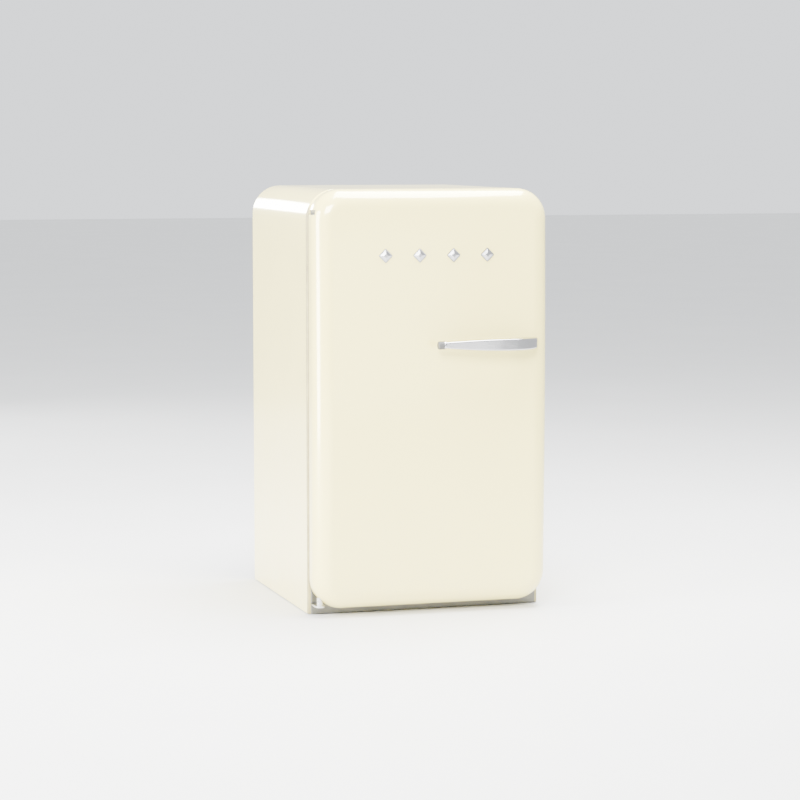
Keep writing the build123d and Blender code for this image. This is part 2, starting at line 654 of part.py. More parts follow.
def dike(out, low, high, width, corner, y_low, y_high):
    """Raised rim: a rectangular ring in the plane of the door."""
    middle = (low + high) / 2
    outer = Pos(0, middle) * RectangleRounded(2 * out, high - low, corner)
    inner = Pos(0, middle) * RectangleRounded(2 * (out - width), high - low - 2 * width, 5)
    return upright(outer - inner, y_low, y_high)


def dike_fillings():
    """Foam inside the raised rim: four bars that meet end to end."""
    out, width = DIKE_OUT - LINER, DIKE_OUT - DIKE_IN - 2 * LINER
    low, high = DIKE_BOTTOM + LINER, DIKE_TOP - LINER
    y = (-DOOR_GAP - LINER, DIKE_DEPTH - LINER)
    bars = [block((-out, out), y, (low, low + width)), block((-out, out), y, (high - width, high))]
    bars += both_sides(block((out - width, out), y, (low + width, high - width)))
    ring = dike(out, low, high, width, 11.5, *y)
    return [bar & ring for bar in bars]


def door_liner():
    """Moulded inner skin: flat plate, raised rim and the bosses that the bins hang on."""
    outline = Pos(0, DOOR_MID) * RectangleRounded(
        WIDTH - 2 * SHEET - 0.4, DOOR_HEIGHT - 2 * SHEET - 0.4, CORNER_R - SHEET - 0.2)
    skin = upright(outline, -DOOR_GAP - LINER, -DOOR_GAP)
    rim = dike(DIKE_OUT, DIKE_BOTTOM, DIKE_TOP, DIKE_OUT - DIKE_IN, 14, -DOOR_GAP - 1, DIKE_DEPTH)
    rim = fillet(rim.edges().group_by(Axis.Y)[-1], 5)
    skin = skin + rim - dike_fillings()
    for low, high in (BOTTLE_BIN, MIDDLE_BIN, DAIRY_BIN):
        boss = block((BIN_X + 1.5, DIKE_IN + 0.5), (0, 24), (high - 26, high - 14))
        for one in both_sides(boss):
            skin += one
    return skin - hinge_pocket()


def handle_screw(x):
    head = rod((x, HANDLE_SCREW_HEAD, HANDLE_Z), (x, HANDLE_SCREW_HEAD + 4, HANDLE_Z), 5.5)
    return head + rod((x, HANDLE_SCREW_HEAD, HANDLE_Z), (x, HANDLE_SCREW_TIP, HANDLE_Z), 2.5)


def door_foam():
    """Foam core, with pockets for the hinge inserts and the handle's screws, and the rim's filling."""
    core = door_block(SHEET, -DOOR_GAP - LINER)
    core -= [hinge_insert(UPPER_INSERT), hinge_insert(LOWER_INSERT), hinge_pocket(), lower_bore()]
    core -= [handle_screw(x) for x in HANDLE_SCREWS]
    return [core] + dike_fillings()


def door_gasket():
    """Magnetic seal: a broad foot and a narrower bulb."""
    middle, tall = sum(GASKET_Z) / 2, GASKET_Z[1] - GASKET_Z[0]

    def ring(edge):
        wide, high = 2 * (GASKET_X - edge), tall - 2 * edge
        outer = Pos(0, middle) * RectangleRounded(wide, high, 14 - edge)
        band = GASKET_BAND - 2 * edge
        return outer - Pos(0, middle) * RectangleRounded(wide - 2 * band, high - 2 * band, 5)

    return upright(ring(0), -DOOR_GAP, -5) + upright(ring(2), -5, -0.3)


def handle_bar():
    """Chromed grip that stands off the door and curves back to a foot near its edge."""
    front = -DOOR_REACH - HANDLE_REACH
    tip_front, tip_back = HANDLE_AXIS_Y - 7, HANDLE_AXIS_Y + 7
    root = -DOOR_REACH - 4
    plan = make_face(
        TangentArc((HANDLE_APEX, front), (HANDLE_TIP, tip_front), tangent=(-1, 0))
        + TangentArc((HANDLE_APEX, front), (HANDLE_ROOT, root), tangent=(1, 0))
        + Polyline((HANDLE_ROOT, root), (HANDLE_ROOT, -DOOR_REACH), (192, -DOOR_REACH))
        + TangentArc((154, tip_back), (192, -DOOR_REACH), tangent=(1, 0))
        + Polyline((154, tip_back), (HANDLE_TIP, tip_back), (HANDLE_TIP, tip_front)))
    tip_top, tip_low = HANDLE_Z + 7.6, HANDLE_Z - 6.4
    end_top, end_low = HANDLE_Z + 11.6, HANDLE_Z - 11.6
    elevation = make_face(
        ThreePointArc((HANDLE_TIP, tip_top), (120, HANDLE_Z + 11.8), (HANDLE_ROOT, end_top))
        + Line((HANDLE_ROOT, end_top), (HANDLE_ROOT, end_low))
        + ThreePointArc((HANDLE_ROOT, end_low), (160, HANDLE_Z - 13.8), (HANDLE_TIP, tip_low))
        + Line((HANDLE_TIP, tip_low), (HANDLE_TIP, tip_top)))
    bar = flat(plan, HANDLE_Z - 20, HANDLE_Z + 20) & upright(elevation, front - 5, -DOOR_REACH)
    long_edges = [e for e in bar.edges() if e.length > 40 and e.center().Y < -DOOR_REACH - 15]
    bar = fillet(long_edges, 3.2)
    screw_holes = [rod((x, -DOOR_REACH + 1, HANDLE_Z), (x, HANDLE_SCREW_TIP, HANDLE_Z), 2.5)
                   for x in HANDLE_SCREWS]
    return bar - screw_holes


def handle_collar():
    z = HANDLE_Z + 0.6
    ring = rod((HANDLE_TIP - COLLAR, HANDLE_AXIS_Y, z), (HANDLE_TIP, HANDLE_AXIS_Y, z), 9.2)
    return fillet(ring.edges(), 1.4)


def handle_cap():
    """Fluted button on the free end of the grip."""
    start, z = HANDLE_TIP - COLLAR, HANDLE_Z + 0.6
    cap = rod((start, HANDLE_AXIS_Y, z), (start - 13.2, HANDLE_AXIS_Y, z), 9)
    cap = fillet(cap.edges().group_by(Axis.X)[0], 3)
    flutes = []
    for n in range(24):
        turn = 2 * math.pi * n / 24
        y, high = HANDLE_AXIS_Y + 9.5 * math.cos(turn), z + 9.5 * math.sin(turn)
        flutes.append(rod((start - 14, y, high), (start - 1.5, y, high), 0.8))
    return cap - flutes


def badge_studs():
    """Four plain faceted diamonds across the door, lying on its bowed face."""
    rise = BADGE_Z - DOOR_MID
    lean = math.degrees(math.asin(rise / BOW_R))
    y = BOW_R - DOOR_REACH - math.sqrt(BOW_R ** 2 - rise ** 2) - 0.05
    studs = []
    for x in BADGE_X:
        base = extrude(Rot(0, 0, 45) * RectangleRounded(23, 23, 2.5), amount=1.6)
        peak = extrude(Pos(0, 0, 1.6) * Rot(0, 0, 45) * Rectangle(19, 19), amount=3.2, taper=62)
        studs.append(Pos(x, y, BADGE_Z) * Rot(90 - lean, 0, 0) * (base + peak))
    return studs


# ---- door bins ----------------------------------------------------------------------------------
def door_bin(span):
    """Clear bin with ledges that rest on the door's bosses."""
    low, high = span
    body = open_box((-BIN_X, BIN_X), (-DOOR_GAP + 0.5, BIN_DEPTH), (low, high), BIN_WALL, 9)
    ledge = block((BIN_X - 1, DIKE_IN - 0.8), (2, 22), (high - 13.7, high - 6))
    for one in both_sides(ledge):
        body += one
    return body


def bin_rail(span):
    """Chromed guard rod across the front of a bin, on two posts that stand on its rim."""
    high = span[1]
    path = [(-168, BIN_DEPTH - 10, high), (-168, BIN_DEPTH - 10, high + 34),
            (168, BIN_DEPTH - 10, high + 34), (168, BIN_DEPTH - 10, high)]
    return tube(path, 2.5, 12)


def dairy_bin():
    """The top bin, with two ears that carry its lid's pins."""
    y, z = LID_AXIS
    body = door_bin(DAIRY_BIN)
    ear = block((BIN_X - BIN_WALL, BIN_X), (y - 5, y + 5), (DAIRY_BIN[1] - 1, z + 4))
    for one in both_sides(ear):
        body += one
    return body - rod((-BIN_X - 1, y, z), (BIN_X + 1, y, z), LID_PIN + RUNNING)


def dairy_lid():
    """Clear lid that turns on pins at its rear edge."""
    y, z = LID_AXIS
    lid = block((-BIN_X + 3.2, BIN_X - 3.2), (y - 1.5, BIN_DEPTH - 1), (z - 1.5, z + 1))
    lip = block((-50, 50), (BIN_DEPTH - 3, BIN_DEPTH + 1), (z - 1.5, z + 5))
    return lid + lip + rod((-BIN_X + 0.5, y, z), (BIN_X - 0.5, y, z), LID_PIN)


# ---- hinges -------------------------------------------------------------------------------------
def upper_hinge():
    """Plate on the cabinet's front, arm into the door, pin down into the door's insert."""
    plate = block((HINGE_X - 9, HINGE_X + 7.5), (-HINGE_PLATE, 0), (866, 910))
    plate -= [rod((x, -5, z), (x, 5, z), SCREW_BORE) for x, z in HINGE_SCREWS]
    arm = block((HINGE_X - 6, HINGE_X + 6), (HINGE_Y, -0.5), (898, 902))
    arm += rod((HINGE_X, HINGE_Y, 898), (HINGE_X, HINGE_Y, 902), 6)
    return plate + arm + rod((HINGE_X, HINGE_Y, 868), (HINGE_X, HINGE_Y, 899), 4)


def lower_hinge():
    """Arm through the plinth with a stepped pin that carries the door."""
    arm = block((HINGE_X - 11, HINGE_X + 11), (HINGE_Y, 60), (ARM_LOW, ARM_TOP))
    arm += rod((HINGE_X, HINGE_Y, ARM_LOW), (HINGE_X, HINGE_Y, ARM_TOP), 11)
    arm += rod((HINGE_X, HINGE_Y, ARM_TOP), (HINGE_X, HINGE_Y, 43.8), 7)
    arm -= [rod((HINGE_X, y, 10), (HINGE_X, y, 40), 2.1) for y in ARM_SCREWS]
    return arm + rod((HINGE_X, HINGE_Y, 43), (HINGE_X, HINGE_Y, 76), 4)


# ---- everything, by node ------------------------------------------------------------------------
def parts():
    trims = [shelf_trim(LOWER_SHELF_Z), shelf_trim(UPPER_SHELF_Z)]
    inserts = [hinge_insert(UPPER_INSERT) - hinge_pocket() - upper_bore(),
               hinge_insert(LOWER_INSERT) - lower_bore()]
    return {
        "left_side_panel": side_panel(-1),
        "right_side_panel": side_panel(1),
        "top_panel": top_panel(),
        "front_frame": front_frame(),
        "cavity_liner": liner(),
        "cabinet_insulation": insulation(),
        "back_panel": back_panel(),
        "cabinet_screws": cabinet_screws(),
        "underside_sheet": underside_sheet(),
        "plinth": plinth(),
        "base_frame": base_frame(),
        "compressor_tray": compressor_tray(),
        "left_front_foot": front_foot(-1),
        "right_front_foot": front_foot(1),
        "rear_feet": rear_feet(),
        "compressor": compressor(),
        "compressor_grommets": compressor_grommets(),
        "relay_box": relay_box(),
        "drip_tray": drip_tray(),
        "drain_tube": drain_tube(),
        "filter_drier": filter_drier(),
        "condenser_tube": condenser_tube(),
        "condenser_wires": condenser_wires(),
        "condenser_brackets": condenser_brackets(),
        "refrigerant_pipes": refrigerant_pipes(),
        "cord_gland": cord_gland(),
        "upper_glass_shelf": glass_shelf(UPPER_SHELF_Z),
        "lower_glass_shelf": glass_shelf(LOWER_SHELF_Z),
        "shelf_trims": trims,
        "bottle_rack": bottle_rack(),
        "crisper_cover": glass_shelf(CRISPER_COVER_Z),
        "crisper_drawer": crisper(),
        "ice_box": ice_box(),
        "ice_box_hangers": ice_box_hangers(),
        "ice_box_bezel": ice_box_bezel(),
        "ice_flap": ice_flap(),
        "control_housing": control_housing(),
        "thermostat_knob": thermostat_knob(),
        "lamp_cover": lamp_cover(),
        "lamp_board": lamp_board(),
        "door_switch": door_switch(),
        "switch_plunger": switch_plunger(),
        "door_skin": door_skin(),
        "door_liner": door_liner(),
        "door_foam": door_foam(),
        "door_gasket": door_gasket(),
        "hinge_inserts": inserts,
        "handle_bar": handle_bar(),
        "handle_collar": handle_collar(),
        "handle_cap": handle_cap(),
        "handle_screws": [handle_screw(x) for x in HANDLE_SCREWS],
        "badge_studs": badge_studs(),
        "dairy_bin": dairy_bin(),
        "dairy_lid": dairy_lid(),
        "middle_bin": door_bin(MIDDLE_BIN),
        "bottle_bin": door_bin(BOTTLE_BIN),
        "middle_bin_rail": bin_rail(MIDDLE_BIN),
        "bottle_bin_rail": bin_rail(BOTTLE_BIN),
        "upper_hinge": upper_hinge(),
        "lower_hinge": lower_hinge(),
    }


def write(nodes):
    os.makedirs("parts", exist_ok=True)
    for name, shape in nodes.items():
        pieces = shape if isinstance(shape, list) else [shape]
        solids = [solid for piece in pieces for solid in piece.solids()]
        moved = [Pos(0, FRONT_Y, 0) * solid for solid in solids]
        whole = moved[0] if len(moved) == 1 else Compound(children=moved)
        export_step(whole, f"parts/{name}.step")


if __name__ == "__main__":
    write(parts())
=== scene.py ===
"""Looks of a retro mini fridge: a material for every slot, finer pieces, a pale studio and a camera."""
import json
import math

import bmesh
import bpy
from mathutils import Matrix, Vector


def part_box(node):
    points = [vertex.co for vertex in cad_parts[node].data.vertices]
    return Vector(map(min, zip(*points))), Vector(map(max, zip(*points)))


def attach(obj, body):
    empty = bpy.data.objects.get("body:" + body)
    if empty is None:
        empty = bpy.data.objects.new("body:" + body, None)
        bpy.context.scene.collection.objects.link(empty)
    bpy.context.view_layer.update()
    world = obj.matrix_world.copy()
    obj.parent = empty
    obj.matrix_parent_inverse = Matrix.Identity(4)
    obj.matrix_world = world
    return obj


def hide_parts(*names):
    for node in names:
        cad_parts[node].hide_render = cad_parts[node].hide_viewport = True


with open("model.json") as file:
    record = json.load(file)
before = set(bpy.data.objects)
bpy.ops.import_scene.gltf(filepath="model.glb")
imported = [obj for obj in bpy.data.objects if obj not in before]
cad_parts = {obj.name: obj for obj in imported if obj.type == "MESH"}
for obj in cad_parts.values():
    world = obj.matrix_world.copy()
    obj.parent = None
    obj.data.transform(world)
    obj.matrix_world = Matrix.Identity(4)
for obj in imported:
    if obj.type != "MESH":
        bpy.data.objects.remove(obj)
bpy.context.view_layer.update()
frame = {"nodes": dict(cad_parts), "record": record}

# Lengths are in metres and angles in degrees.
CAMERA_AIM = Vector((0, 0, 0.4576))
CAMERA_DISTANCE = 6.0617
CAMERA_LEFT = 16.93            # round from the front
CAMERA_UP = 5.63
LENS = 117.575                 # mm, on this sensor
SENSOR = 36

FLOOR_SIZE = 60.0
WORLD_COLOUR = (0.93, 0.96, 1.0)
WORLD_STRENGTH = 1.7
SOFTBOXES = [                  # name, place, aim, size, watts
    ("overhead", (0.4, -0.1, 3.2), (0.1, 0, 0.5), (2.4, 1.6), 620),
    ("left_strip", (-3.4, -0.5, 1.1), (0, 0, 0.6), (1.4, 2.4), 450),
    ("front_fill", (-2.6, -5.0, 3.6), (0, 0, 0.4), (3.0, 2.2), 1150),
    ("rear_strip", (-1.35, 4.4, 1.6), (-0.3, 0, 0.95), (1.2, 0.7), 110),
    ("handle_card", (0.96, -4.7, 0.45), (0.1, -0.3, 0.5), (1.0, 0.9), 8),
]

DUST_HEIGHT = 0.11
SEAM_ON_DOOR = 0.003           # how far the painted shade in the seam reaches on the door and on the cabinet
SEAM_ON_CABINET = 0.006
SEAM_SOFT = 0.004
SEAM_STARTS, SEAM_FULL = 0.262, 0.268          # from the fridge's middle, in x

SHARP_FROM = 35                # edges of the finer pieces that turn more than this stay sharp

SEAL_CORNER = 0.0155
SEAL_PROFILE = (               # inward from the seal's outline, and share of its depth from its foot
    (0.0005, 0.00), (0.0005, 0.18), (0.0034, 0.30), (0.0012, 0.46), (0.0038, 0.60), (0.0022, 0.70),
    (0.0022, 0.90), (0.0030, 1.00), (0.0110, 1.00), (0.0120, 0.90), (0.0120, 0.66), (0.0102, 0.52),
    (0.0128, 0.36), (0.0112, 0.22), (0.0145, 0.14), (0.0145, 0.00))

CHANNEL_R = 0.0021
CHANNEL_STAND = 0.0004         # middle of the channel above the ice box's wall
CHANNEL_PITCH = 0.022
CHANNEL_INSET = 0.018
CHANNEL_SIDE_ROWS = 4

TICKS = 8
TICK_START, TICK_SWEEP = -22.5, 225.0
TICK_GAP = 0.0022              # knob to ticks
TICK_LENGTH, LENGTH_GROWS = 0.0022, 0.0003     # the first tick, and what each one after it adds
TICK_WIDTH, WIDTH_GROWS = 0.0004, 0.00008      # half of the width
TICK_RISE = 0.00025


# ---- materials ----------------------------------------------------------------------------------
class Surface:
    """A principled material that is built up from noise, ramps and bump, in metres of the object."""

    def __init__(self, name, **sockets):
        self.material = bpy.data.materials.new(name)
        self.material.use_nodes = True
        self.nodes = self.material.node_tree.nodes
        self.links = self.material.node_tree.links
        self.shader = self.nodes["Principled BSDF"]
        self.place = self.nodes.new("ShaderNodeTexCoord").outputs["Object"]
        self.normal = None
        for socket, value in sockets.items():
            self.shader.inputs[socket.replace("_", " ")].default_value = value

    def stretched(self, x, y, z):
        """Coordinates scaled by axis, so that a noise runs in streaks."""
        mapping = self.nodes.new("ShaderNodeMapping")
        mapping.inputs["Scale"].default_value = (x, y, z)
        self.links.new(self.place, mapping.inputs["Vector"])
        return mapping.outputs["Vector"]

    def noise(self, scale, detail=3.0, rough=0.5, place=None):
        node = self.nodes.new("ShaderNodeTexNoise")
        node.inputs["Scale"].default_value = scale
        node.inputs["Detail"].default_value = detail
        node.inputs["Roughness"].default_value = rough
        self.links.new(place or self.place, node.inputs["Vector"])
        return node.outputs["Fac"]

    def cells(self, scale):
        node = self.nodes.new("ShaderNodeTexVoronoi")
        node.inputs["Scale"].default_value = scale
        self.links.new(self.place, node.inputs["Vector"])
        return node.outputs["Distance"]

    def waves(self, scale, direction, distortion):
        node = self.nodes.new("ShaderNodeTexWave")
        node.bands_direction = direction
        node.inputs["Scale"].default_value = scale
        node.inputs["Distortion"].default_value = distortion
        self.links.new(self.place, node.inputs["Vector"])
        return node.outputs["Fac"]

    def along(self, axis):
        """The object's own coordinate on this axis."""
        split = self.nodes.new("ShaderNodeSeparateXYZ")
        self.links.new(self.place, split.inputs["Vector"])
        return split.outputs[axis]

    def near_floor(self, height):
        """1 at the floor, falling to 0 at this height."""
        return self.fitted(self.along("Z"), 1.0, 0.0, 0.0, height)

    def between_planes(self, low, high, soft):
        """1 between two planes of y, falling to 0 within this distance outside them."""
        y = self.along("Y")
        rise = self.fitted(y, 0.0, 1.0, low - soft, low)
        fall = self.fitted(y, 1.0, 0.0, high, high + soft)
        return self.times(rise, fall)

    def far_out(self, near, far):
        """0 up to this distance from the middle in x, rising to 1 at the far one."""
        distance = self.nodes.new("ShaderNodeMath")
        distance.operation = "ABSOLUTE"
        self.links.new(self.along("X"), distance.inputs[0])
        return self.fitted(distance.outputs["Value"], 0.0, 1.0, near, far)

    def fitted(self, value, low, high, start=0.3, end=0.7):
        """The value between start and end, turned into low to high."""
        node = self.nodes.new("ShaderNodeMapRange")
        node.inputs["From Min"].default_value = start
        node.inputs["From Max"].default_value = end
        node.inputs["To Min"].default_value = low
        node.inputs["To Max"].default_value = high
        self.links.new(value, node.inputs["Value"])
        return node.outputs["Result"]

    def times(self, a, b):
        node = self.nodes.new("ShaderNodeMath")
        node.operation = "MULTIPLY"
        self.links.new(a, node.inputs[0])
        self.links.new(b, node.inputs[1])
        return node.outputs["Value"]

    def ramp(self, value, *stops):
        """A colour for each value; stops are (position, (r, g, b))."""
        node = self.nodes.new("ShaderNodeValToRGB")
        points = node.color_ramp.elements
        while len(points) < len(stops):
            points.new(0.5)
        for point, (position, colour) in zip(points, stops):
            point.position = position
            point.color = (*colour, 1)
        self.links.new(value, node.inputs["Fac"])
        return node.outputs["Color"]

    def over(self, base, layer, amount):
        """The layer's colour over the base's, by amount."""
        node = self.nodes.new("ShaderNodeMix")
        node.data_type = "RGBA"
        self.links.new(amount, node.inputs["Factor"])
        self.links.new(base, node.inputs["A"])
        self.links.new(layer, node.inputs["B"])
        return next(o for o in node.outputs if o.type == "RGBA")

    def feed(self, socket, output):
        self.links.new(output, self.shader.inputs[socket])

    def bump(self, height, strength, depth):
        """Adds relief of this depth, in metres, on top of any relief already there."""
        node = self.nodes.new("ShaderNodeBump")
        node.inputs["Strength"].default_value = strength
        node.inputs["Distance"].default_value = depth
        self.links.new(height, node.inputs["Height"])
        if self.normal:
            self.links.new(self.normal, node.inputs["Normal"])
        self.normal = node.outputs["Normal"]
        self.links.new(self.normal, self.shader.inputs["Normal"])


def mottled(surface, colour, scale, spread):
    """The colour, slightly lighter and darker in patches."""
    dark = tuple(c * (1 - spread) for c in colour)
    light = tuple(min(1.0, c * (1 + spread)) for c in colour)
    return surface.ramp(surface.noise(scale), (0.3, dark), (0.7, light))


def rough_between(surface, low, high, scale):
    surface.feed("Roughness", surface.fitted(surface.noise(scale, 4.0), low, high))


def cream_paint():
    """Baked enamel on steel: slight orange peel, a clear coat, dust low down and painted shade in the
    door seam.
    """
    s = Surface("cream_paint", IOR=1.5, Coat_Roughness=0.10, Coat_IOR=1.8,
                Coat_Tint=(1.0, 0.98, 0.86, 1.0))
    paint = mottled(s, (0.90, 0.80, 0.30), 3.0, 0.012)
    dust = s.ramp(s.noise(55, 5), (0.4, (0.80, 0.72, 0.38)), (0.7, (0.70, 0.64, 0.38)))
    low_down = s.times(s.near_floor(DUST_HEIGHT), s.fitted(s.noise(23, 5), 0.0, 0.35, 0.45, 0.8))
    dusty = s.over(paint, dust, low_down)
    # Painted shade: a band at the sides where the door meets the cabinet turns dark brown and loses its
    # coat, standing in for the shade in that seam.
    door_rear, cabinet_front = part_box("door_skin")[1].y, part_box("left_side_panel")[0].y
    seam = s.between_planes(door_rear - SEAM_ON_DOOR, cabinet_front + SEAM_ON_CABINET, SEAM_SOFT)
    outer_seam = s.times(seam, s.far_out(SEAM_STARTS, SEAM_FULL))
    painted_seam_shade = s.times(outer_seam, s.fitted(s.noise(30, 4), 0.8, 1.0))
    # The dark brown of the painted seam shade.
    seam_shade_colour = s.ramp(s.noise(70, 4), (0.4, (0.27, 0.23, 0.10)), (0.7, (0.22, 0.18, 0.08)))
    s.feed("Base Color", s.over(dusty, seam_shade_colour, painted_seam_shade))
    s.feed("Coat Weight", s.fitted(painted_seam_shade, 1.0, 0.0, 0.0, 0.9))
    rough_between(s, 0.32, 0.42, 9)
    s.bump(s.noise(230, 1.5), 0.10, 0.0002)
    s.bump(s.noise(6, 1), 0.25, 0.0006)
    return s


def moulded(name, colour, low, high, grain=900.0, depth=0.00005):
    """Injection-moulded plastic: even colour with faint flow patches and a fine spark-eroded grain."""
    s = Surface(name, IOR=1.5)
    s.feed("Base Color", mottled(s, colour, 14, 0.025))
    rough_between(s, low, high, 35)
    s.bump(s.cells(grain), 0.15, depth)
    return s


def liner_white():
    """Vacuum-formed liner: satin, with the slow waviness of a drawn sheet."""
    s = moulded("liner_white", (0.82, 0.83, 0.83), 0.22, 0.34, 1300)
    s.bump(s.noise(11, 1), 0.2, 0.0008)
    return s


def white_plastic():
    return moulded("white_plastic", (0.78, 0.78, 0.77), 0.30, 0.42)


def grey_plastic():
    return moulded("grey_plastic", (0.085, 0.084, 0.078), 0.40, 0.55)


def black_plastic():
    return moulded("black_plastic", (0.012, 0.012, 0.013), 0.38, 0.55, 1100, 0.00008)


def silver_plastic():
    """Plastic painted silver grey: fine flakes and a few scuffs along its length."""
    s = Surface("silver_plastic", Metallic=0.55, IOR=1.5, Coat_Weight=0.25, Coat_Roughness=0.2)
    flakes = s.ramp(s.cells(2600), (0.1, (0.115, 0.112, 0.095)), (0.7, (0.16, 0.156, 0.13)))
    scuffs = s.fitted(s.noise(40, 5, 0.6, s.stretched(0.15, 1, 1.6)), 0.0, 0.5, 0.55, 0.8)
    worn = s.ramp(s.noise(300, 2), (0.3, (0.11, 0.11, 0.10)), (0.7, (0.14, 0.14, 0.13)))
    s.feed("Base Color", s.over(flakes, worn, scuffs))
    rough_between(s, 0.30, 0.45, 120)
    s.bump(s.noise(700, 2), 0.08, 0.0001)
    return s


def chrome():
    """Plating, brushed very finely along x, with soft smudges."""
    s = Surface("chrome", Metallic=1.0)
    streaks = s.stretched(0.05, 1, 1)
    s.feed("Base Color", s.ramp(s.noise(900, 3, 0.6, streaks), (0.3, (0.43, 0.425, 0.43)),
                                (0.7, (0.52, 0.515, 0.52))))
    lines = s.fitted(s.noise(1500, 3, 0.6, streaks), 0.08, 0.19)
    smudges = s.fitted(s.noise(30, 4), 0.7, 1.25)
    s.feed("Roughness", s.times(lines, smudges))
    s.bump(s.noise(1800, 2, 0.5, streaks), 0.10, 0.00004)
    return s


def galvanised():
    """Zinc-coated sheet: spangle, dull patches and rolling marks."""
    s = Surface("galvanised", Metallic=0.9)
    spangle = s.ramp(s.cells(75), (0.05, (0.42, 0.43, 0.44)), (0.5, (0.60, 0.61, 0.62)))
    dull = s.ramp(s.noise(60, 5), (0.3, (0.33, 0.34, 0.34)), (0.7, (0.45, 0.46, 0.46)))
    s.feed("Base Color", s.over(spangle, dull, s.fitted(s.noise(18, 5), 0.1, 0.7)))
    rough_between(s, 0.34, 0.55, 48)
    s.bump(s.cells(75), 0.08, 0.0002)
    s.bump(s.noise(400, 3, 0.5, s.stretched(1, 1, 0.06)), 0.12, 0.0001)
    return s


def zinc_steel():
    """Yellowish passivated zinc on hinges and screws."""
    s = Surface("zinc_steel", Metallic=1.0)
    s.feed("Base Color", s.ramp(s.noise(70, 4), (0.25, (0.50, 0.49, 0.45)), (0.55, (0.60, 0.60, 0.58)),
                                (0.8, (0.57, 0.54, 0.46))))
    rough_between(s, 0.24, 0.42, 160)
    s.bump(s.noise(900, 3), 0.12, 0.00006)
    return s


def black_enamel():
    """Stoved black on the compressor and condenser: runs slightly thick, with dust on it."""
    s = Surface("black_enamel", IOR=1.5, Coat_Weight=0.3, Coat_Roughness=0.25)
    enamel = mottled(s, (0.010, 0.010, 0.011), 30, 0.2)
    dust = s.ramp(s.noise(160, 4), (0.3, (0.05, 0.048, 0.044)), (0.7, (0.09, 0.086, 0.078)))
    s.feed("Base Color", s.over(enamel, dust, s.fitted(s.noise(24, 6), 0.0, 0.35, 0.5, 0.8)))
    rough_between(s, 0.30, 0.55, 60)
    s.bump(s.noise(260, 2), 0.2, 0.0002)
    return s


def copper():
    """Tube with heat tint and a dull skin."""
    s = Surface("copper", Metallic=1.0)
    s.feed("Base Color", s.ramp(s.noise(45, 5), (0.25, (0.42, 0.17, 0.09)), (0.5, (0.74, 0.37, 0.22)),
                                (0.8, (0.50, 0.22, 0.13))))
    rough_between(s, 0.22, 0.48, 90)
    s.bump(s.noise(700, 2), 0.12, 0.00008)
    return s


def rubber(name, colour, low=0.55, high=0.75):
    s = Surface(name, IOR=1.48, Specular_IOR_Level=0.35)
    s.feed("Base Color", mottled(s, colour, 40, 0.12))
    rough_between(s, low, high, 90)
    s.bump(s.noise(1200, 3), 0.2, 0.00008)
    return s


def black_rubber():
    return rubber("black_rubber", (0.012, 0.012, 0.012))


def seal_rubber():
    return rubber("seal_rubber", (0.56, 0.56, 0.55), 0.42, 0.58)


def shelf_glass():
    """Tempered glass with a faint green body and wipe marks."""
    s = Surface("shelf_glass", Transmission_Weight=1.0, IOR=1.5)
    s.feed("Base Color", s.ramp(s.noise(5, 2), (0.3, (0.86, 0.95, 0.91)), (0.7, (0.90, 0.97, 0.94))))
    wiped = s.noise(26, 5, 0.6, s.stretched(1, 0.2, 1))
    s.feed("Roughness", s.fitted(wiped, 0.01, 0.07, 0.4, 0.8))
    s.bump(s.noise(4, 1), 0.05, 0.0003)
    return s


def clear_plastic():
    """Clear polystyrene bins: hairline scratches and a slightly milky body."""
    s = Surface("clear_plastic", Transmission_Weight=0.92, IOR=1.45)
    s.feed("Base Color", s.ramp(s.noise(9, 2), (0.3, (0.90, 0.93, 0.94)), (0.7, (0.94, 0.96, 0.97))))
    hairlines = s.stretched(0.08, 1, 1)
    s.feed("Roughness", s.fitted(s.noise(420, 4, 0.65, hairlines), 0.04, 0.16, 0.4, 0.75))
    s.bump(s.noise(420, 3, 0.6, hairlines), 0.06, 0.00006)
    return s


def aluminium_sheet():
    """Rolled aluminium of the evaporator: long mill streaks and frost-dulled patches."""
    s = Surface("aluminium_sheet", Metallic=1.0)
    mill = s.noise(500, 4, 0.6, s.stretched(1, 0.03, 1))
    s.feed("Base Color", s.ramp(mill, (0.3, (0.60, 0.61, 0.62)), (0.7, (0.74, 0.75, 0.76))))
    s.feed("Roughness", s.times(s.fitted(s.noise(28, 5), 0.28, 0.5), s.fitted(mill, 0.85, 1.15)))
    s.bump(mill, 0.1, 0.00008)
    return s


def foam():
    """Polyurethane foam: closed cells under a yellowed skin."""
    s = Surface("foam", IOR=1.4, Specular_IOR_Level=0.2)
    s.feed("Base Color", s.ramp(s.noise(60, 5), (0.3, (0.62, 0.50, 0.22)), (0.7, (0.74, 0.62, 0.32))))
    rough_between(s, 0.75, 0.95, 80)
    s.bump(s.cells(420), 0.6, 0.0006)
    return s


def board():
    """Lamp board: pale solder mask with faint tracks, glowing softly."""
    s = Surface("board", IOR=1.5, Emission_Color=(1.0, 0.93, 0.82, 1.0), Emission_Strength=0.6)
    tracks = s.fitted(s.waves(60, "Y", 3.0), 0.0, 1.0, 0.55, 0.65)
    mask = s.ramp(s.noise(50, 2), (0.3, (0.62, 0.63, 0.60)), (0.7, (0.70, 0.71, 0.68)))
    track = s.ramp(s.noise(50, 2), (0.3, (0.50, 0.52, 0.46)), (0.7, (0.56, 0.58, 0.52)))
    s.feed("Base Color", s.over(mask, track, tracks))
    rough_between(s, 0.3, 0.45, 90)
    return s


def print_ink():
    """Dark grey pad print on the thermostat's cover."""
    s = Surface("print_ink", IOR=1.5)
    s.feed("Base Color", mottled(s, (0.05, 0.055, 0.06), 400, 0.15))
    rough_between(s, 0.45, 0.6, 300)
    return s


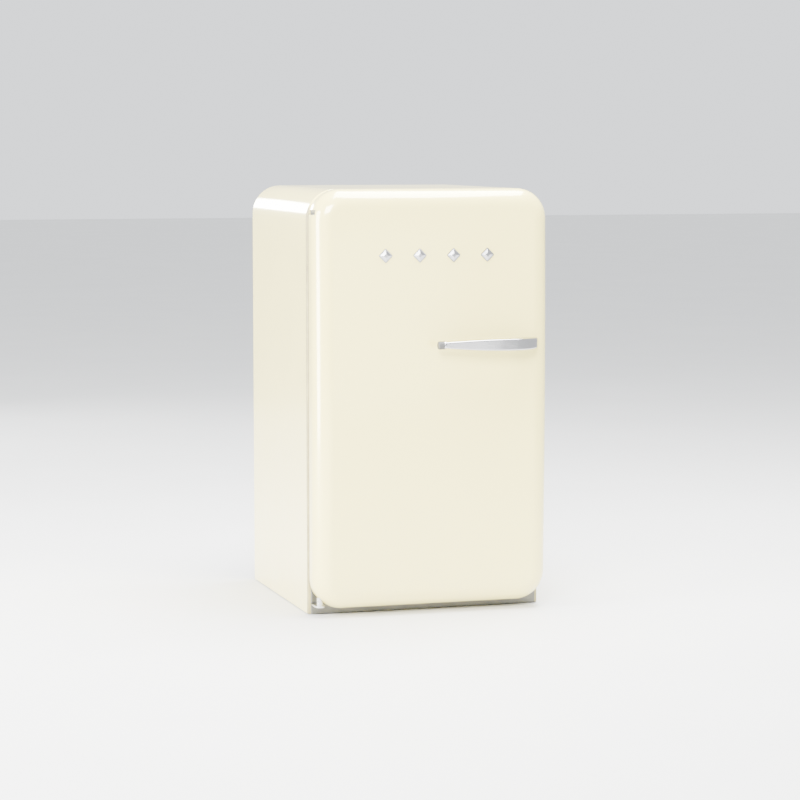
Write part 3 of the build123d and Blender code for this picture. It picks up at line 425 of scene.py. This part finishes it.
def floor_paint():
    """Plain pale matt floor with the faintest unevenness."""
    s = Surface("floor_paint", IOR=1.4, Specular_IOR_Level=0.3)
    s.feed("Base Color", mottled(s, (0.74, 0.74, 0.73), 1.6, 0.015))
    rough_between(s, 0.5, 0.6, 4)
    s.bump(s.noise(60, 3), 0.05, 0.0004)
    return s


SLOT_MATERIALS = {
    "cream_paint": cream_paint, "liner_white": liner_white, "foam": foam, "galvanised": galvanised,
    "zinc_steel": zinc_steel, "silver_plastic": silver_plastic, "black_enamel": black_enamel,
    "copper": copper, "black_plastic": black_plastic, "black_rubber": black_rubber,
    "grey_plastic": grey_plastic, "shelf_glass": shelf_glass, "chrome": chrome,
    "clear_plastic": clear_plastic, "aluminium_sheet": aluminium_sheet, "white_plastic": white_plastic,
    "seal_rubber": seal_rubber, "board": board,
}


def paint_nodes():
    """Gives every CAD node the material of its slot, and returns the materials by slot."""
    made = {slot: maker().material for slot, maker in SLOT_MATERIALS.items()}
    for part in frame["record"]["subparts"]:
        data = frame["nodes"][part["node"]].data
        data.materials.clear()
        data.materials.append(made[part["material_slot"]])
    return made


# ---- finer pieces -------------------------------------------------------------------------------
def add_piece(name, mesh, material, body):
    """Puts a bmesh into the scene as one smooth-shaded piece that rides on a body."""
    data = bpy.data.meshes.new(name)
    mesh.to_mesh(data)
    mesh.free()
    piece = bpy.data.objects.new(name, data)
    bpy.context.scene.collection.objects.link(piece)
    data.materials.append(material)
    data.shade_smooth()
    data.set_sharp_from_angle(angle=math.radians(SHARP_FROM))
    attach(piece, body)
    return piece


def rounded_frame(half_x, low_z, high_z, radius, steps=8):
    """Points round an upright rounded rectangle: a corner's centre x, z, then outward x, z."""
    corners = [(half_x - radius, high_z - radius, 0), (radius - half_x, high_z - radius, 90),
               (radius - half_x, low_z + radius, 180), (half_x - radius, low_z + radius, 270)]
    points = []
    for x, z, start in corners:
        for n in range(steps + 1):
            turn = math.radians(start + 90 * n / steps)
            points.append((x, z, math.cos(turn), math.sin(turn)))
    return points


def swept_ring(points, radius, profile):
    """A closed ring: profile points are (inward, y), carried round the frame's points."""
    mesh = bmesh.new()
    rings = []
    for x, z, out_x, out_z in points:
        rings.append([mesh.verts.new((x + out_x * (radius - inward), y, z + out_z * (radius - inward)))
                      for inward, y in profile])
    count = len(profile)
    for ring, after in zip(rings, rings[1:] + rings[:1]):
        for n in range(count):
            mesh.faces.new((ring[n], ring[(n + 1) % count], after[(n + 1) % count], after[n]))
    bmesh.ops.recalc_face_normals(mesh, faces=mesh.faces)
    return mesh


def bellows_seal(materials):
    """The magnetic door seal: a foot in the liner's groove, two folds and a magnet sleeve."""
    low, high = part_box("door_gasket")
    depth = high.y - low.y
    profile = [(inward, low.y + share * depth) for inward, share in SEAL_PROFILE]
    points = rounded_frame(high.x, low.z, high.z, SEAL_CORNER)
    ring = swept_ring(points, SEAL_CORNER, profile)
    seal = add_piece("bellows_seal", ring, materials["seal_rubber"], "door")
    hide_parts("door_gasket")


def to_and_fro(start, end, rows, bend):
    """A row's number and a place along it, for the four points of each row of a serpentine."""
    for n in range(rows):
        first, last = (start, end) if n % 2 == 0 else (end, start)
        for share in (0.0, bend, 1.0 - bend, 1.0):
            yield n, first + share * (last - first)


def add_run(curve, points):
    """One smooth line of the curve, through its two ends."""
    spline = curve.splines.new("NURBS")
    spline.points.add(len(points) - 1)
    for point, place in zip(spline.points, points):
        point.co = (*place, 1)
    spline.order_u = 3
    spline.use_endpoint_u = True


def evaporator_channels(materials):
    """The refrigerant channel that runs to and fro on the outside of the ice compartment."""
    low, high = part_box("ice_box")
    curve = bpy.data.curves.new("evaporator_channels", "CURVE")
    curve.dimensions = "3D"
    curve.bevel_depth = CHANNEL_R
    curve.bevel_resolution = 3
    curve.use_fill_caps = True
    side, front, rear = high.x - CHANNEL_INSET, low.y + CHANNEL_INSET, high.y - CHANNEL_INSET
    rows = int((high.y - low.y - 2 * CHANNEL_INSET) / CHANNEL_PITCH) + 1
    for z in (low.z - CHANNEL_STAND, high.z + CHANNEL_STAND):
        add_run(curve, [(x, front + n * CHANNEL_PITCH, z)
                        for n, x in to_and_fro(-side, side, rows, 0.05)])
    for x in (low.x - CHANNEL_STAND, high.x + CHANNEL_STAND):
        add_run(curve, [(x, y, low.z + CHANNEL_INSET + n * CHANNEL_PITCH)
                        for n, y in to_and_fro(front, rear, CHANNEL_SIDE_ROWS, 0.07)])
    piece = bpy.data.objects.new("evaporator_channels", curve)
    bpy.context.scene.collection.objects.link(piece)
    curve.materials.append(materials["aluminium_sheet"])
    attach(piece, "cabinet")


def dial_print(ink):
    """Ticks that grow round the thermostat knob."""
    cover_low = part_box("control_housing")[0]
    knob_low, knob_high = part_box("thermostat_knob")
    middle = Vector((cover_low.x, (knob_low.y + knob_high.y) / 2, (knob_low.z + knob_high.z) / 2))
    inner = (knob_high.z - knob_low.z) / 2 + TICK_GAP
    rise = Vector((TICK_RISE, 0, 0))
    mesh = bmesh.new()
    for n in range(TICKS):
        turn = math.radians(TICK_START + TICK_SWEEP * n / (TICKS - 1))
        along = Vector((0, math.cos(turn), math.sin(turn)))
        across = Vector((0, -math.sin(turn), math.cos(turn)))
        length, width = TICK_LENGTH + LENGTH_GROWS * n, TICK_WIDTH + WIDTH_GROWS * n
        outline = [middle + along * (inner + far * length) + across * side * width
                   for far, side in ((0, -1), (1, -1), (1, 1), (0, 1))]
        front = [mesh.verts.new(corner - rise) for corner in outline]
        back = [mesh.verts.new(corner + rise) for corner in outline]
        mesh.faces.new(front)
        mesh.faces.new(back)
        for a in range(4):
            mesh.faces.new((front[a], front[(a + 1) % 4], back[(a + 1) % 4], back[a]))
    bmesh.ops.recalc_face_normals(mesh, faces=mesh.faces)
    add_piece("dial_ticks", mesh, ink, "cabinet")


# ---- studio -------------------------------------------------------------------------------------
def studio_floor():
    mesh = bmesh.new()
    bmesh.ops.create_grid(mesh, x_segments=1, y_segments=1, size=FLOOR_SIZE / 2)
    data = bpy.data.meshes.new("studio_floor")
    mesh.to_mesh(data)
    mesh.free()
    floor = bpy.data.objects.new("studio_floor", data)
    bpy.context.scene.collection.objects.link(floor)
    data.materials.append(floor_paint().material)


def pale_world():
    world = bpy.data.worlds.new("studio_world")
    world.use_nodes = True
    background = world.node_tree.nodes["Background"]
    background.inputs["Color"].default_value = (*WORLD_COLOUR, 1)
    background.inputs["Strength"].default_value = WORLD_STRENGTH
    bpy.context.scene.world = world


def softbox(name, place, aim, size, power):
    """A rectangular area light that the camera doesn't see."""
    data = bpy.data.lights.new(name, "AREA")
    data.shape = "RECTANGLE"
    data.size, data.size_y = size
    data.energy = power
    light = bpy.data.objects.new(name, data)
    bpy.context.scene.collection.objects.link(light)
    light.location = place
    light.rotation_euler = (Vector(aim) - Vector(place)).to_track_quat("-Z", "Y").to_euler()
    light.visible_camera = False


def camera():
    left, up = math.radians(CAMERA_LEFT), math.radians(CAMERA_UP)
    away = Vector((-math.sin(left) * math.cos(up), -math.cos(left) * math.cos(up), math.sin(up)))
    data = bpy.data.cameras.new("camera")
    data.sensor_width = SENSOR
    data.lens = LENS
    eye = bpy.data.objects.new("camera", data)
    bpy.context.scene.collection.objects.link(eye)
    eye.location = CAMERA_AIM + away * CAMERA_DISTANCE
    eye.rotation_euler = (-away).to_track_quat("-Z", "Y").to_euler()
    bpy.context.scene.camera = eye


def corners(box):
    return [list(corner) for corner in box]


camera()
studio_floor()
pale_world()
for light in SOFTBOXES:
    softbox(*light)
materials = paint_nodes()
bellows_seal(materials)
evaporator_channels(materials)
dial_print(print_ink().material)
